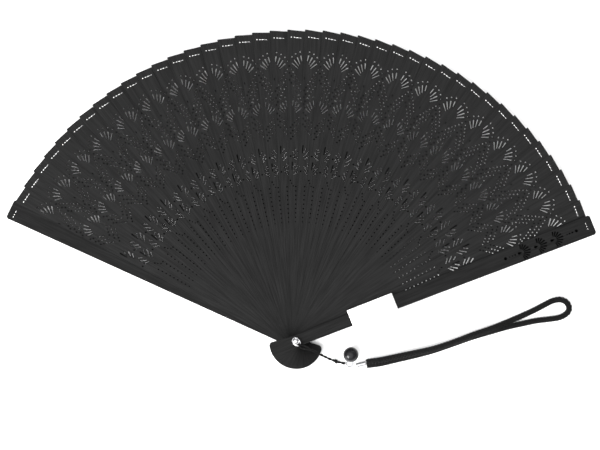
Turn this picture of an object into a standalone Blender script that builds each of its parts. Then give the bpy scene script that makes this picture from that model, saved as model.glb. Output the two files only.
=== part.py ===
"""A folding brise fan of dyed wooden sticks, lying open, with its wrist strap.

Metres, +Z up. The origin is on the pivot axis, in the flat back face of the
rivet. The open fan is symmetric about +Y: the left guard is the lowest layer
and the right guard the highest, and each stick lies one layer above the stick
to its left, so that all of them turn about the rivet without touching.
"""

import math

import bpy
from mathutils import Vector

MM = 0.001

# Driving dimensions of the fan.
INNER_STICKS = 40
FAN_STEP = math.radians(3.25)
GUARD_REACH = 193.5 * MM
STICK_REACH = 192.0 * MM
HEAD_REACH = 16.0 * MM
PIVOT_HALF_WIDTH = 3.35 * MM
TIP_HALF_WIDTH = 6.15 * MM
HEAD_HALF_WIDTH = 4.9 * MM
HEAD_CORNER = 2.5 * MM
GUARD_CORNER = 1.6 * MM
STICK_CORNER = 0.5 * MM
TIP_SLANT = 0.09
CORNER_STEPS = 3
GUARD_THICK = 1.5 * MM
STICK_THICK = 0.30 * MM
LAYER_GAP = 0.06 * MM

# The rivet.
PIN_RADIUS = 1.2 * MM
NECK_RADIUS = 1.0 * MM
HOLE_RADIUS = 1.3 * MM
HOLE_SIDES = 16
BACK_HEAD_RADIUS = 2.6 * MM
BACK_HEAD_THICK = 0.45 * MM
WASHER_RADIUS = 2.3 * MM
WASHER_THICK = 0.4 * MM
DOME_RADIUS = 1.6 * MM
DOME_HEIGHT = 0.75 * MM
BAIL_HALF_WIDTH = 1.85 * MM
BAIL_HALF_LENGTH = 2.4 * MM
BAIL_OFFSET = 0.85 * MM
BAIL_WIRE_RADIUS = 0.45 * MM
BAIL_HEADING = math.radians(-45.0)

# The paper label folded round the right guard.
PAPER_THICK = 0.2 * MM
PAPER_GAP = 0.08 * MM
LABEL_START = 35.5 * MM
LABEL_LENGTH = 29.0 * MM
LABEL_FOLD = 6.0 * MM
LABEL_SLEEVE = 5.2 * MM
LABEL_TAIL = 15.0 * MM

# The wrist strap. Its routes are in millimetres, from the rivet outwards.
STRING_RADIUS = 0.55 * MM
STRING_ROUTE = (
    (3.0, -2.85, 19.05), (3.6, -3.1, 18.6), (4.7, -3.3, 17.4), (6.2, -3.6, 15.4), (8.2, -4.1, 12.6),
    (10.2, -4.7, 10.0), (12.4, -5.5, 7.6), (14.6, -6.4, 5.8), (16.6, -7.2, 4.4),
    (18.6, -8.0, 2.9), (20.6, -8.8, 1.7), (22.8, -9.6, 0.9), (24.9, -10.3, 0.6),
    (26.8, -10.7, 0.6), (28.6, -11.1, 0.6), (30.4, -11.5, 0.6),
)
STRING_SPACING = 1.5 * MM
CORD_RADIUS = 1.2 * MM
CORD_ROUTE = (
    (43.7, -12.1, 1.25), (52.4, -10.6, 1.25), (61.6, -8.1, 1.25), (73.2, -5.0, 1.25),
    (84.6, -1.5, 1.25), (96.1, 2.9, 1.25), (107.8, 7.4, 1.25), (118.5, 10.9, 1.25),
    (127.8, 13.9, 1.25), (137.0, 16.3, 1.25), (146.5, 18.6, 1.25), (154.5, 19.8, 1.25),
    (160.8, 21.2, 1.25), (165.0, 24.1, 1.25), (165.9, 27.4, 1.25), (164.0, 30.6, 1.25),
    (160.2, 31.9, 1.25), (155.6, 30.9, 1.25), (151.0, 28.5, 1.25), (145.4, 25.3, 1.25),
    (139.5, 22.3, 1.25), (133.4, 19.4, 1.3), (127.0, 16.4, 1.8), (118.3, 12.6, 3.15),
    (107.4, 8.4, 3.6), (95.9, 3.6, 3.75), (84.4, -0.6, 3.7), (72.8, -3.6, 3.4),
    (61.2, -6.4, 3.1), (52.0, -8.6, 2.9), (43.3, -10.1, 2.9),
)
CORD_SPACING = 3.6 * MM
SMOOTHING_STEPS = 12

# The pieces on the strap.
RING_CENTRE = Vector((33.1, -11.6, 0.45)) * MM
RING_RADIUS = 1.9 * MM
RING_WIRE_RADIUS = 0.4 * MM
BEAD_CENTRE = Vector((33.7, -6.1, 4.45)) * MM
BEAD_RADIUS = 4.4 * MM
BEAD_BORE_RADIUS = 0.5 * MM
BEAD_BORE_DEPTH = 3.0 * MM
BEAD_AXIS = Vector((-0.10, -0.755, -0.648)).normalized()
BEAD_PIN_RADIUS = 0.35 * MM
BEAD_PIN_START = 1.8 * MM
BEAD_PIN_END = 4.75 * MM
CAP_TIP = Vector((36.4, -12.55, 1.5)) * MM
CAP_MOUTH = Vector((42.7, -10.9, 1.5)) * MM
CAP_RADIUS = 1.45 * MM
CAP_TIP_RADIUS = 0.55 * MM

LATHE_SIDES = 24
WIRE_POINTS = 24

# Heights of the layers, from the back of the rivet upwards.
LEFT_GUARD_BASE = BACK_HEAD_THICK + LAYER_GAP
FIRST_STICK_BASE = LEFT_GUARD_BASE + GUARD_THICK + LAYER_GAP
LAYER_PITCH = STICK_THICK + LAYER_GAP
LAST_STICK_TOP = FIRST_STICK_BASE + INNER_STICKS * LAYER_PITCH - LAYER_GAP
RIGHT_GUARD_BASE = LAST_STICK_TOP + LAYER_GAP + PAPER_THICK + PAPER_GAP
RIGHT_GUARD_TOP = RIGHT_GUARD_BASE + GUARD_THICK
WASHER_BASE = RIGHT_GUARD_TOP + LAYER_GAP
WASHER_TOP = WASHER_BASE + WASHER_THICK
BAIL_HEIGHT = WASHER_TOP + LAYER_GAP + BAIL_WIRE_RADIUS
DOME_BASE = BAIL_HEIGHT + BAIL_WIRE_RADIUS + LAYER_GAP
HALF_SPREAD = FAN_STEP * (INNER_STICKS + 1) / 2


def clear_scene():
    for obj in list(bpy.data.objects):
        bpy.data.objects.remove(obj, do_unlink=True)


def material(name, colour, roughness, metallic=0.0):
    """A Principled BSDF material with the part's plain colour and gloss."""
    made = bpy.data.materials.new(name)
    made.use_nodes = True
    shader = made.node_tree.nodes["Principled BSDF"]
    shader.inputs["Base Color"].default_value = (*colour, 1.0)
    shader.inputs["Roughness"].default_value = roughness
    shader.inputs["Metallic"].default_value = metallic
    return made


def add_object(name, data, finish):
    if not data.materials:
        data.materials.append(finish)
    obj = bpy.data.objects.new(name, data)
    bpy.context.scene.collection.objects.link(obj)
    return obj


def poly_spline(curve, points, cyclic):
    spline = curve.splines.new("POLY")
    spline.points.add(len(points) - 1)
    for point, place in zip(spline.points, points):
        point.co = (*place, 1.0)
    spline.use_cyclic_u = cyclic


def plate(name, outlines, thick):
    """A flat plate centred on z = 0, from an outer outline and its holes."""
    curve = bpy.data.curves.new(name, "CURVE")
    curve.dimensions = "2D"
    curve.fill_mode = "BOTH"
    curve.extrude = thick / 2
    for outline in outlines:
        poly_spline(curve, [(x, y, 0.0) for x, y in outline], cyclic=True)
    return curve


def circle(radius, sides):
    turns = [2 * math.pi * index / sides for index in range(sides)]
    return [(radius * math.cos(turn), radius * math.sin(turn)) for turn in turns]


def corner(x, y, radius, start):
    """A quarter round whose centre is radius in from the corner at x, y."""
    sides = math.copysign(1.0, x), math.copysign(1.0, y)
    centre = x - sides[0] * radius, y - sides[1] * radius
    angles = [start + math.pi / 2 * step / CORNER_STEPS for step in range(CORNER_STEPS + 1)]
    return [(centre[0] + radius * math.cos(a), centre[1] + radius * math.sin(a)) for a in angles]


def stick_outline(reach, tip_corner, slant):
    """The blade along +Y: straight taper above the pivot, flared head below it.

    slant is how much the tip falls for each millimetre to the right.
    """
    tip_half = TIP_HALF_WIDTH * reach / GUARD_REACH
    tip = corner(tip_half, reach, tip_corner, 0.0)
    tip += corner(-tip_half, reach, tip_corner, math.pi / 2)
    outline = [(x, y - slant * x) for x, y in tip]
    outline += [(-PIVOT_HALF_WIDTH, 0.0)]
    outline += corner(-HEAD_HALF_WIDTH, -HEAD_REACH, HEAD_CORNER, math.pi)
    outline += corner(HEAD_HALF_WIDTH, -HEAD_REACH, HEAD_CORNER, 1.5 * math.pi)
    outline += [(PIVOT_HALF_WIDTH, 0.0)]
    return outline


def blade_curve(name, reach, tip_corner, thick, slant=0.0):
    outlines = [stick_outline(reach, tip_corner, slant), circle(HOLE_RADIUS, HOLE_SIDES)]
    return plate(name, outlines, thick)


def place_blade(name, curve, finish, layer, base, thick):
    """A blade on the pivot axis; layer 0 is the left guard."""
    obj = add_object(name, curve, finish)
    obj.location = (0.0, 0.0, base + thick / 2)
    obj.rotation_euler = (0.0, 0.0, HALF_SPREAD - layer * FAN_STEP)
    return obj


def make_blades(guard_finish, stick_finish):
    guard = blade_curve("guard", GUARD_REACH, GUARD_CORNER, GUARD_THICK)
    stick = blade_curve("stick", STICK_REACH, STICK_CORNER, STICK_THICK, TIP_SLANT)
    last = INNER_STICKS + 1
    place_blade("left_guard", guard, guard_finish, 0, LEFT_GUARD_BASE, GUARD_THICK)
    for layer in range(1, last):
        base = FIRST_STICK_BASE + (layer - 1) * LAYER_PITCH
        place_blade(f"stick_{layer:02d}", stick, stick_finish, layer, base, STICK_THICK)
    place_blade("right_guard", guard, guard_finish, last, RIGHT_GUARD_BASE, GUARD_THICK)


def lathe(name, profile, closed=False):
    """A body turned about Z from (radius, height) points, running up its outer side."""
    points = []
    rings = []
    for radius, height in profile:
        sides = LATHE_SIDES if radius > 0 else 1
        rings.append([len(points) + side for side in range(sides)])
        points += [(x, y, height) for x, y in circle(radius, sides)]
    faces = []
    pairs = list(zip(rings, rings[1:] + rings[:1]))
    for lower, upper in pairs if closed else pairs[:-1]:
        for side in range(LATHE_SIDES):
            after = (side + 1) % LATHE_SIDES
            face = [
                lower[side % len(lower)],
                lower[after % len(lower)],
                upper[after % len(upper)],
                upper[side % len(upper)],
            ]
            faces.append(list(dict.fromkeys(face)))
    mesh = bpy.data.meshes.new(name)
    mesh.from_pydata(points, [], faces)
    mesh.validate()
    mesh.shade_smooth()
    mesh.set_sharp_from_angle(angle=math.radians(40.0))
    return mesh


def aim(obj, start, along):
    """Puts the object's origin at start with its +Z pointing along."""
    obj.location = start
    obj.rotation_euler = along.to_track_quat("Z", "Y").to_euler()


def make_rivet(finish):
    edge = 0.12 * MM
    pin_profile = [
        (0.0, 0.0),
        (BACK_HEAD_RADIUS - edge, 0.0),
        (BACK_HEAD_RADIUS, edge),
        (BACK_HEAD_RADIUS - edge, BACK_HEAD_THICK),
        (PIN_RADIUS, BACK_HEAD_THICK),
        (PIN_RADIUS, WASHER_TOP),
        (NECK_RADIUS, WASHER_TOP),
        (NECK_RADIUS, DOME_BASE),
        (DOME_RADIUS - edge, DOME_BASE),
    ]
    rises = [math.pi / 2 * step / 4 for step in range(5)]
    for rise in rises[:-1]:
        pin_profile.append((DOME_RADIUS * math.cos(rise), DOME_BASE + edge + DOME_HEIGHT * math.sin(rise)))
    pin_profile.append((0.0, DOME_BASE + edge + DOME_HEIGHT))
    add_object("rivet_pin", lathe("rivet_pin", pin_profile), finish)

    washer_profile = [
        (HOLE_RADIUS, WASHER_BASE),
        (WASHER_RADIUS, WASHER_BASE),
        (WASHER_RADIUS - edge, WASHER_TOP),
        (HOLE_RADIUS, WASHER_TOP),
    ]
    add_object("rivet_washer", lathe("rivet_washer", washer_profile, closed=True), finish)


def wire_ring(name, half_long, half_wide, wire_radius):
    """A closed wire ring lying flat round the origin, long along X."""
    curve = bpy.data.curves.new(name, "CURVE")
    curve.dimensions = "3D"
    curve.bevel_depth = wire_radius
    curve.bevel_resolution = 2
    unit = circle(1.0, WIRE_POINTS)
    poly_spline(curve, [(half_long * x, half_wide * y, 0.0) for x, y in unit], cyclic=True)
    return curve


def make_bail(finish):
    curve = wire_ring("rivet_bail", BAIL_HALF_LENGTH, BAIL_HALF_WIDTH, BAIL_WIRE_RADIUS)
    bail = add_object("rivet_bail", curve, finish)
    heading = Vector((math.cos(BAIL_HEADING), math.sin(BAIL_HEADING), 0.0))
    bail.location = heading * BAIL_OFFSET + Vector((0.0, 0.0, BAIL_HEIGHT))
    bail.rotation_euler = (0.0, 0.0, BAIL_HEADING)


def make_label(finish):
    """A paper strip folded round the right guard, its ends meeting in a flat tail.

    The section is drawn across the guard: x runs to the guard's left, y up.
    """
    bottom = RIGHT_GUARD_BASE - PAPER_GAP
    top = RIGHT_GUARD_TOP + PAPER_GAP
    middle = (bottom + top) / 2
    outer = [
        (LABEL_SLEEVE, bottom - PAPER_THICK),
        (LABEL_FOLD, middle - PAPER_THICK),
        (LABEL_FOLD, middle + PAPER_THICK),
        (LABEL_SLEEVE, top + PAPER_THICK),
        (-LABEL_SLEEVE, top + PAPER_THICK),
        (-LABEL_SLEEVE - 2 * MM, middle + PAPER_THICK),
        (-LABEL_TAIL, middle + PAPER_THICK),
        (-LABEL_TAIL, middle - PAPER_THICK),
        (-LABEL_SLEEVE - 2 * MM, middle - PAPER_THICK),
        (-LABEL_SLEEVE, bottom - PAPER_THICK),
    ]
    inner = [
        (LABEL_SLEEVE - PAPER_THICK, bottom),
        (LABEL_SLEEVE - PAPER_THICK, top),
        (-LABEL_SLEEVE + PAPER_THICK, top),
        (-LABEL_SLEEVE + PAPER_THICK, bottom),
    ]
    curve = plate("paper_label", [outer, inner], LABEL_LENGTH)
    label = add_object("paper_label", curve, finish)
    # The section stands upright, square to the guard, half its length up the guard.
    heading = math.pi / 2 - HALF_SPREAD
    reach = LABEL_START + LABEL_LENGTH / 2
    label.location = (reach * math.cos(heading), reach * math.sin(heading), 0.0)
    label.rotation_euler = (math.pi / 2, 0.0, heading + math.pi / 2)


def smooth_route(route, spacing):
    """Evenly spaced points on the smooth curve through a route in millimetres."""
    knots = [Vector(point) * MM for point in route]
    first = 2 * knots[0] - knots[1]
    last = 2 * knots[-1] - knots[-2]
    padded = [first, *knots, last]
    fine = []
    for before, start, end, after in zip(padded, padded[1:], padded[2:], padded[3:]):
        for step in range(SMOOTHING_STEPS):
            t = step / SMOOTHING_STEPS
            fine.append(
                start
                + (end - before) * (t / 2)
                + (2 * before - 5 * start + 4 * end - after) * (t * t / 2)
                + (3 * start - before - 3 * end + after) * (t**3 / 2)
            )
    fine.append(knots[-1])
    reached = [0.0]
    for start, end in zip(fine, fine[1:]):
        reached.append(reached[-1] + (end - start).length)
    count = round(reached[-1] / spacing)
    points = []
    index = 0
    for step in range(count + 1):
        wanted = reached[-1] * step / count
        while index < len(fine) - 2 and reached[index + 1] < wanted:
            index += 1
        share = (wanted - reached[index]) / (reached[index + 1] - reached[index])
        points.append(fine[index].lerp(fine[index + 1], min(share, 1.0)))
    return points


def tube(name, points, radius):
    curve = bpy.data.curves.new(name, "CURVE")
    curve.dimensions = "3D"
    curve.bevel_depth = radius
    curve.bevel_resolution = 2
    curve.use_fill_caps = True
    poly_spline(curve, points, cyclic=False)
    return curve


def make_strap(string_finish, cord_finish):
    string_points = smooth_route(STRING_ROUTE, STRING_SPACING)
    add_object("strap_string", tube("strap_string", string_points, STRING_RADIUS), string_finish)
    cord_points = smooth_route(CORD_ROUTE, CORD_SPACING)
    add_object("strap_cord", tube("strap_cord", cord_points, CORD_RADIUS), cord_finish)


def make_jump_ring(finish):
    ring = wire_ring("jump_ring", RING_RADIUS, RING_RADIUS, RING_WIRE_RADIUS)
    add_object("jump_ring", ring, finish).location = RING_CENTRE


def make_bead(bead_finish, pin_finish):
    """A round bead with a blind bore, and the straight pin that is set in it."""
    bore_angle = math.asin(BEAD_BORE_RADIUS / BEAD_RADIUS)
    steps = 12
    profile = [(0.0, -BEAD_RADIUS)]
    for step in range(1, steps + 1):
        angle = -math.pi / 2 + (math.pi - bore_angle) * step / steps
        profile.append((BEAD_RADIUS * math.cos(angle), BEAD_RADIUS * math.sin(angle)))
    profile.append((BEAD_BORE_RADIUS, BEAD_RADIUS - BEAD_BORE_DEPTH))
    profile.append((0.0, BEAD_RADIUS - BEAD_BORE_DEPTH))
    aim(add_object("bead", lathe("bead", profile), bead_finish), BEAD_CENTRE, BEAD_AXIS)

    pin_profile = [
        (0.0, BEAD_PIN_START),
        (BEAD_PIN_RADIUS, BEAD_PIN_START),
        (BEAD_PIN_RADIUS, BEAD_PIN_END),
        (0.0, BEAD_PIN_END),
    ]
    aim(add_object("bead_pin", lathe("bead_pin", pin_profile), pin_finish), BEAD_CENTRE, BEAD_AXIS)


def make_end_cap(finish):
    """The turned metal cap on the cord's two ends, with a short neck at its tip."""
    along = CAP_MOUTH - CAP_TIP
    length = along.length
    shoulder = 1.3 * MM
    profile = [
        (0.0, 0.0),
        (CAP_TIP_RADIUS, 0.0),
        (CAP_TIP_RADIUS, shoulder / 2),
        (CAP_RADIUS, shoulder),
        (CAP_RADIUS, length),
        (0.0, length),
    ]
    aim(add_object("end_cap", lathe("end_cap", profile), finish), CAP_TIP, along)


def main():
    clear_scene()
    dyed_guard = material("dyed_guard", (0.024, 0.024, 0.026), 0.5)
    dyed_wood = material("dyed_wood", (0.030, 0.030, 0.032), 0.55)
    chrome = material("chrome", (0.80, 0.80, 0.82), 0.12, 1.0)
    paper = material("paper", (0.86, 0.86, 0.85), 0.8)
    thread = material("string", (0.012, 0.012, 0.012), 0.6)
    braid = material("braid", (0.020, 0.020, 0.022), 0.7)
    glass = material("bead", (0.006, 0.006, 0.007), 0.08)
    make_blades(dyed_guard, dyed_wood)
    make_rivet(chrome)
    make_bail(chrome)
    make_label(paper)
    make_strap(thread, braid)
    make_jump_ring(chrome)
    make_bead(glass, chrome)
    make_end_cap(chrome)


main()
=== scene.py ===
"""The looks of a pierced, black-dyed brise fan lying open, with its wrist strap.

Metres, +Z up, in the shared frame: the origin is on the rivet's axis, in its
flat back face. Blades are drawn along their own +Y, in millimetres, and then
turned about the rivet to the places that the CAD gives them.
"""

import math

import bmesh
import bpy
from mathutils import Matrix, Vector
from mathutils.geometry import delaunay_2d_cdt


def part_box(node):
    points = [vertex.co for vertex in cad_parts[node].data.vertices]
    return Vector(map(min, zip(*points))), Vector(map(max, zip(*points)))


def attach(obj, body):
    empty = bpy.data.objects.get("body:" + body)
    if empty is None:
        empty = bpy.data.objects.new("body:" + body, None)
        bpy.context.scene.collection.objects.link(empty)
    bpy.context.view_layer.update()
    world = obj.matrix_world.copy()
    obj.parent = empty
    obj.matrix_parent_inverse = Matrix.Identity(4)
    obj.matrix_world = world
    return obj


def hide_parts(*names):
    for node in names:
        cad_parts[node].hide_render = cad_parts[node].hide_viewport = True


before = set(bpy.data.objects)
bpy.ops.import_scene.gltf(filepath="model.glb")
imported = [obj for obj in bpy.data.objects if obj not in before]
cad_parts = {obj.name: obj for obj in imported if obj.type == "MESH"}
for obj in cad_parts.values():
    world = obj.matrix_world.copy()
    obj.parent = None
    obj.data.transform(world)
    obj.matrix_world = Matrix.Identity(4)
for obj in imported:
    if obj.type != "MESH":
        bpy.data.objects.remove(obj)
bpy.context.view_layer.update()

MM = 0.001

# The camera's view of the fan.
CAMERA_TARGET = Vector((0.2, 72.7, 0.0)) * MM
CAMERA_DISTANCE = 1500 * MM
CAMERA_AZIMUTH = math.radians(1.88)
CAMERA_ELEVATION = math.radians(83.18)
CAMERA_LENS = 146.8
CAMERA_SENSOR = 36.0

# The blades, in millimetres.
INNER_STICKS = 40
FAN_STEP = math.radians(3.25)
HALF_STEP = FAN_STEP / 2
HALF_SPREAD = FAN_STEP * (INNER_STICKS + 1) / 2
GUARD_REACH = 193.5
STICK_REACH = 192.0
HEAD_REACH = 16.0
PIVOT_HALF_WIDTH = 3.35
TIP_HALF_WIDTH = 6.15
HEAD_HALF_WIDTH = 4.9
HEAD_CORNER = 2.5
GUARD_CORNER = 1.6
STICK_CORNER = 0.5
TIP_SLANT = 0.09
STICK_LEAN = 0.09
LEAN_STEP = 0.009
CORNER_STEPS = 6
PIVOT_HOLE = 1.3
PIVOT_SIDES = 24
STICK_THICK = 0.30
GUARD_THICK = 1.5
GUARD_EDGE = 0.12
LINING = 0.1
CUT_TOLERANCE = 1e-5
RIM_ANGLE = 1.0
RIM_LEVEL = 0.1 * MM
TURNED_ANGLE = math.radians(40.0)
SWEPT_ANGLE = math.radians(50.0)
STEEP = 0.05

# The pierced pattern: distances from the rivet, in millimetres.
DOT_RADIUS = 0.39
DOT_SIDES = 8
BLIND_DOT_RADIUS = 0.5
RAY_HALF_WIDTH = 0.34
RAY_INNER_HALF_WIDTH = 0.18
UPPER_SHELL_RADIUS = 165.1
LOWER_SHELL_RADIUS = 137.8
LOWER_SHELL_SCALE = 0.95
SHELL_RAYS = ((12.0, 8.2, 11.4), (24.5, 6.7, 11.0), (37.0, 6.0, 10.4), (50.0, 5.2, 9.7))
SHELL_DOT_GAP = 2.5
SHELL_DOT_RADIUS = 0.42
SHELL_SHIFT = -0.3
BAND_LINES = 3
BAND_DOTS = 8
BAND_START = 154.7
BAND_LINE_DROP = 4.27
BAND_RISE = 1.89
BAND_OVERLAP = 0.1
VALLEY_DOTS = 6
VALLEY_START = 140.8
VALLEY_LINE_DROP = 3.58
VALLEY_FALL = 1.5
SHELL_FOOT = ((-0.1, 161.6), (-0.1, 162.6))
SHELL_FOOT_HALF_WIDTHS = (0.2, 0.3)
LEAF_SHIFT = 0.15
UPPER_LEAF_LAG = 2.0
LOWER_LEAF_LAG = 0.9
UPPER_LEAF_RADIUS = 110.4
LOWER_LEAF_RADIUS = 101.2
LEAF_SLIT = (5.4, 10.0)
LEAF_SLIT_SPREAD = 0.35
LEAF_SLIT_HALF_WIDTHS = (0.24, 0.4)
LOWER_SLIT_DROP = 1.0
LEAF_HALF_WIDTH = 0.31
LEAF_INNER_HALF_WIDTH = 0.22
LEAF_RAYS = (((1.2, 1.2), (3.6, 3.4)), ((1.0, 3.0), (3.6, 6.2)), ((0.8, 6.0), (2.3, 8.1)))
UPPER_LINE_SPOTS = ((-0.4, 104.6, 0.55),)
LOWER_LINE_SPOTS = (
    (-0.4, 114.0, 0.55), (-0.9, 99.0, 0.5), (-0.2, 97.3, DOT_RADIUS), (0.75, 95.6, DOT_RADIUS),
)
COLUMN_SHIFT = -0.4
COLUMN_START = 95.2
COLUMN_PITCH = 2.7
COLUMN_DOTS = 9
COLUMN_BLIND_RADIUS = 0.45
HOLE_CLEARANCE = 0.3
MIN_CLEARANCE_WIDTH = 0.3
EDGE_STRIP = 0.1
# From this stick to the right guard, the columns of dots of neighbouring sticks line up.
FIRST_LINED_UP = 35

# The right guard's pattern, in millimetres: dots (x, distance, radius), and shells.
GUARD_DOTS = (
    (0.0, 136.4, 1.0), (0.0, 182.7, 0.95),
    (0.0, 139.1, 0.4), (0.0, 140.9, 0.42), (0.0, 142.7, 0.5),
    (0.0, 176.6, 0.35), (0.0, 178.2, 0.5), (0.0, 180.0, 0.55),
)
GUARD_SHELL_FEET = (145.4, 156.0, 166.7)
GUARD_SHELL_RISE = 0.9
GUARD_SHELL_STEP = 18.5
GUARD_SIDE_SLOTS = 4
GUARD_SHELL_INNER = 2.3
GUARD_SHELL_OUTER = 6.1
GUARD_SHELL_FALL = 0.38
GUARD_SLOT_HALF_WIDTHS = (0.25, 0.46)
GUARD_FOOT = (1.3, -0.2)
GUARD_FOOT_HALF_WIDTHS = (0.3, 0.85)

# The linking thread, in millimetres: stitches (place, half length, half width).
THREAD_DROP = 4.1
GUARD_THREAD_DROP = 4.0
THREAD_SLOPE = -0.09
THREAD_SINK = 0.09
THREAD_HALF_THICK = 0.11
THREAD_BLUNT = 0.05
THREAD_SHARES = (-1.0, -0.85, -0.45, 0.0, 0.45, 0.85, 1.0)
FIRST_STITCH = 2.6
STICK_STITCHES = ((2.6, 0.6, 0.6), (4.4, 0.6, 0.55), (6.2, 0.6, 0.5), (8.3, 0.8, 0.25))
STICK_RUN = (6.2, 4.4, 0.13)
LEFT_GUARD_STITCHES = ((-3.8, 0.6, 0.5), (-2.2, 0.6, 0.5), (-0.3, 1.3, 0.35))
RIGHT_GUARD_STITCHES = ((-1.9, 0.8, 0.3), (-0.2, 0.8, 0.35), (1.5, 0.8, 0.3))

# The paper label, in millimetres. Its gap is from the guard's faces to the sheet's middle.
LABEL_THICK = 0.12
LABEL_GAP = 0.1
LABEL_START = 35.5
LABEL_LENGTH = 29.0
LABEL_ROWS = 12
LABEL_SLEEVE = 5.3
LABEL_FOLD_DEPTH = 0.65
LABEL_FOLD_STEPS = 8
LABEL_TAIL = ((-15.0, 0.16), (-12.0, 0.17), (-8.6, 0.2), (-7.0, 0.42))
LABEL_SHOULDER = -5.6
LABEL_SHOULDER_DROP = 0.1
LABEL_FLAT = (-4.8, -2.0, 2.0)
LABEL_WAVE = 0.05 / 9.5
LABEL_WAVE_START = 5.5
LABEL_RIPPLES = (0.35, 0.2)

# The rivet, in millimetres.
RIVET_BACK_RADIUS = 2.6
RIVET_BACK_THICK = 0.45
RIVET_PIN_RADIUS = 1.2
RIVET_NECK_RADIUS = 1.0
RIVET_EDGE = 0.12
DOME_RADIUS = 1.6
DOME_LIFT = 0.06
DOME_STEPS = 12
BAIL_HALF_LENGTH = 2.4
BAIL_HALF_WIDTH = 1.85
BAIL_OFFSET = 0.85
BAIL_WIRE_RADIUS = 0.45
BAIL_HEADING = math.radians(-45.0)

# The strap. What is multiplied by MM is in metres, and other lengths are in millimetres.
STRING_ROUTE = (
    (3.0, -2.85, 19.05), (3.6, -3.1, 18.6), (4.7, -3.3, 17.4), (6.2, -3.6, 15.4), (8.2, -4.1, 12.6),
    (10.2, -4.7, 10.0), (12.4, -5.5, 7.6), (14.6, -6.4, 5.8), (16.6, -7.2, 4.4),
    (18.6, -8.0, 2.9), (20.6, -8.8, 1.7), (22.8, -9.6, 0.9), (24.9, -10.3, 0.6),
    (26.8, -10.7, 0.6), (28.6, -11.1, 0.6), (30.4, -11.5, 0.6),
)
# How far out from the rivet, and how high, the string runs over the bail's wire.
BAIL_CROSSING = ((2.3, 19.1), (2.4, 19.75), (2.8, 20.05), (3.25, 20.08), (3.7, 19.85))
STRING_SPACING = 0.25
CROSSING_POINTS = 2
STRAND_RADIUS = 0.42
STRAND_SPREAD = 0.85
STRAND_OPENING = 1.4
STRANDS_OPEN_AT = 1.5
STRANDS_OPEN_OVER = 7.0
TWIST_START = 8.0
TWIST_PITCH = 6.0
TWIST_FLATNESS = 0.4
KNOT_CENTRE = Vector((24.9, -10.3, 0.85)) * MM
KNOT_SPAN = (10, 12)
KNOT_LOOPS = (-0.5, 0.0, 0.5)
KNOT_STEPS = 16
KNOT_HALF_WIDTH = 0.85
KNOT_HALF_HEIGHT = 0.4
KNOT_SLIP = 0.3
CORD_SPACING = 0.35 * MM
CORE_RADIUS = 0.85 * MM
CORE_FLATNESS = 0.7
CORE_STRIDE = 4
BRAID_CARRIERS = 4
BRAID_LAY = 7.6 * MM
BRAID_WEAVE = 0.13
BRAID_HALF_WIDE = 1.35 * MM
BRAID_HALF_HIGH = 0.78 * MM
YARN_RADIUS = 0.44 * MM
CORD_ROUTE = (
    (43.7, -12.1, 1.25), (52.4, -10.6, 1.25), (61.6, -8.1, 1.25), (73.2, -5.0, 1.25),
    (84.6, -1.5, 1.25), (96.1, 2.9, 1.25), (107.8, 7.4, 1.25), (118.5, 10.9, 1.25),
    (127.8, 13.9, 1.25), (137.0, 16.3, 1.25), (146.5, 18.6, 1.25), (154.5, 19.8, 1.25),
    (160.8, 21.2, 1.25), (165.0, 24.1, 1.25), (165.9, 27.4, 1.25), (164.0, 30.6, 1.25),
    (160.2, 31.9, 1.25), (155.6, 30.9, 1.25), (151.0, 28.5, 1.25), (145.4, 25.3, 1.25),
    (139.5, 22.3, 1.25), (133.4, 19.4, 1.3), (127.0, 16.4, 1.8), (118.3, 12.6, 3.15),
    (107.4, 8.4, 3.6), (95.9, 3.6, 3.75), (84.4, -0.6, 3.7), (72.8, -3.6, 3.4),
    (61.2, -6.4, 3.1), (52.0, -8.6, 2.9), (43.3, -10.1, 2.9),
)
SMOOTHING_STEPS = 12
RING_SIDES = 64
RING_CENTRE = Vector((33.1, -11.6, 0.45)) * MM
RING_RADIUS = 1.9 * MM
RING_WIRE_RADIUS = 0.4 * MM
BEAD_CENTRE = Vector((33.7, -6.1, 4.7)) * MM
BEAD_RADIUS = 4.65 * MM
BEAD_AXIS = Vector((-0.10, -0.755, -0.648)).normalized()
BEAD_BORE = 0.5 * MM
BEAD_BORE_DEPTH = 3.0 * MM
BEAD_STEPS = 32
BEAD_SIDES = 96
PIN_RADIUS = 0.35 * MM
PIN_ENDS = (1.8 * MM, 4.75 * MM)
PIN_SIDES = 24
CAP_TIP = Vector((36.4, -12.55, 1.5)) * MM
CAP_MOUTH = Vector((42.7, -10.9, 1.5)) * MM
CAP_RADIUS = 1.45 * MM
CAP_NECK_RADIUS = 0.55 * MM
CAP_NECK_LENGTH = 0.65 * MM
CAP_CHAMFER = 0.1 * MM
CAP_SHOULDER_STEP = 0.05 * MM
CAP_SHOULDER_TOP = 1.35 * MM
CAP_SHOULDER_HEIGHT = 0.6 * MM
CAP_STEPS = 6
CAP_SLEEVE_START = 1.6 * MM
CAP_RIM_STEP = 0.06 * MM
CAP_RIM_LENGTH = 0.9 * MM

# The stage, in metres and watts.
FLOOR_REACH = 3.0
FLOOR_CORNERS = ((-1, -1), (1, -1), (1, 1), (-1, 1))
FLOOR_GAP = 0.02 * MM
KEY_PLACE = Vector((-0.62, -0.6, 0.49))
KEY_SIZE = (0.6, 0.6)
KEY_POWER = 24.0
FILL_PLACE = Vector((0.1, 1.5, 0.6))
FILL_SIZE = (1.2, 0.4)
FILL_POWER = 13.0
SURROUND_STRENGTH = 3.3
SURROUND_DIM = 0.15
SURROUND_SPREAD = (0.55, 0.95)
SURROUND_CENTRE = Vector((-0.2, -0.32, 0.92)).normalized()

PIECE_SPREAD = 50.0
ROOT = "right_guard_body"


# ---------------------------------------------------------------- materials


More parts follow.
